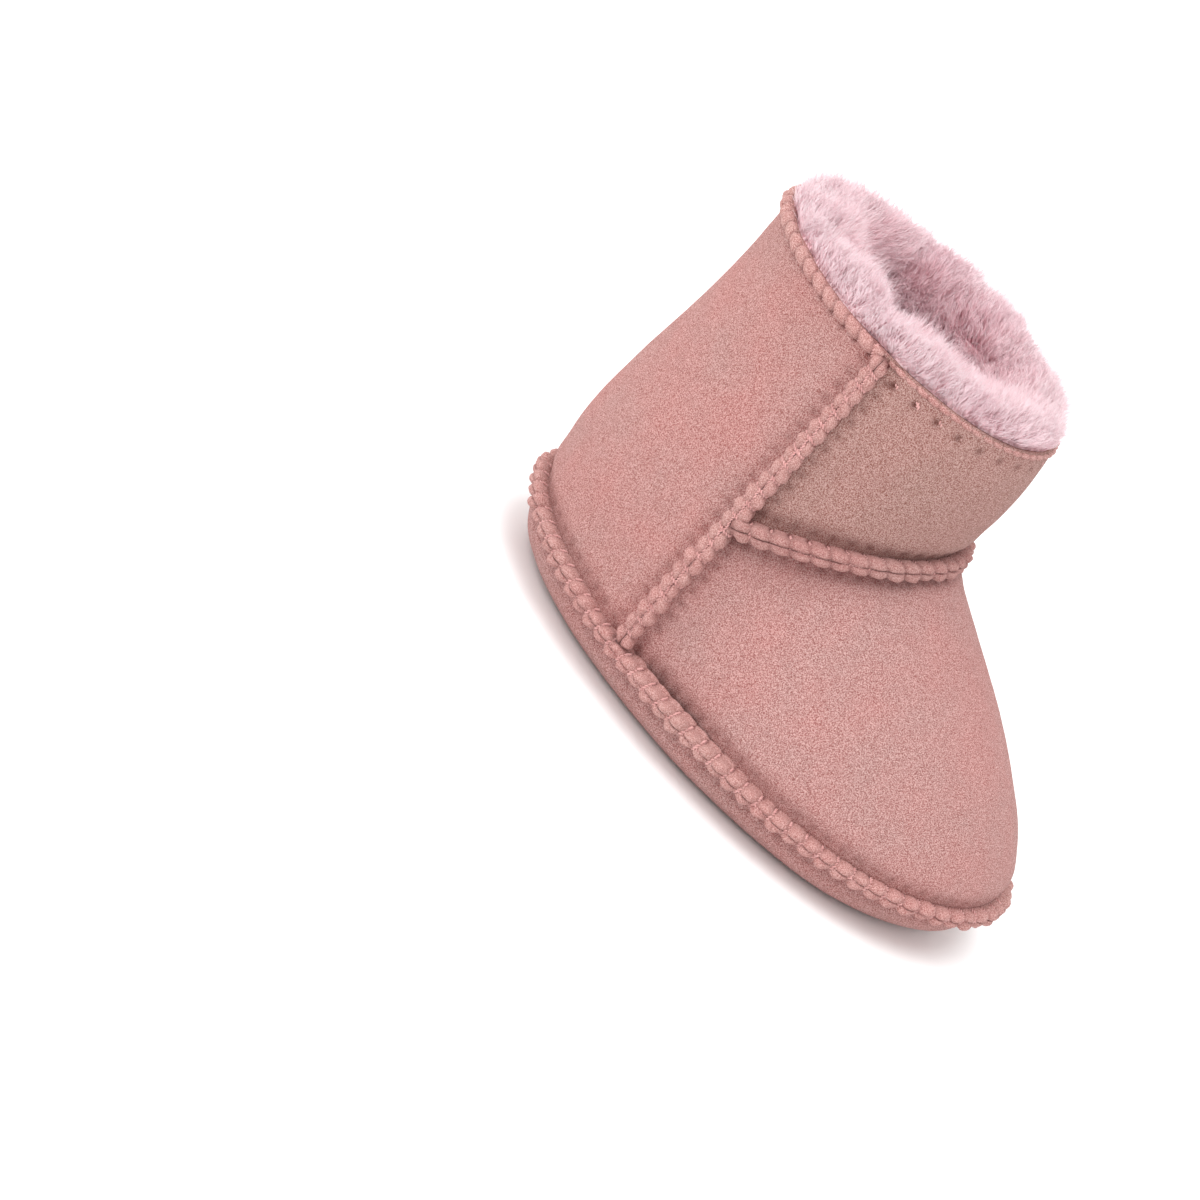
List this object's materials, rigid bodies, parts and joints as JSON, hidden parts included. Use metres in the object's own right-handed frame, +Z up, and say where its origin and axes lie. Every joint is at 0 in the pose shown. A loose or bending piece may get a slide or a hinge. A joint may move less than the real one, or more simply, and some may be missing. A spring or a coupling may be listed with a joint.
{
  "type": "baby bootie",
  "caption": "Soft pull-on baby bootie: four suede panels with wool inside, sewn with raised overcast outside seams, bulging soft sole and woolly collar.",
  "frame": {"origin": "centre of the footprint, on the ground under the flat middle of the sole", "axes": "+Z up through the collar opening, +Y from toe to heel, +X across the foot"},
  "size_m": [0.0812, 0.1263, 0.0905],
  "materials": {
    "suede": "napped suede, matt",
    "wool": "brushed wool pile, matt",
    "thread": "twisted thread, soft sheen"
  },
  "bodies": {
    "root": {"sole_panel": "suede", "vamp_panel": "suede", "front_shaft_panel": "suede", "heel_quarter_panel": "suede", "sole_pile": "wool", "vamp_pile": "wool", "front_shaft_pile": "wool", "heel_quarter_pile": "wool", "sole_seam_thread": "thread", "left_side_seam_thread": "thread", "right_side_seam_thread": "thread", "instep_seam_thread": "thread", "collar_thread_back": "thread", "collar_thread_front": "thread"}
  },
  "joints": []
}
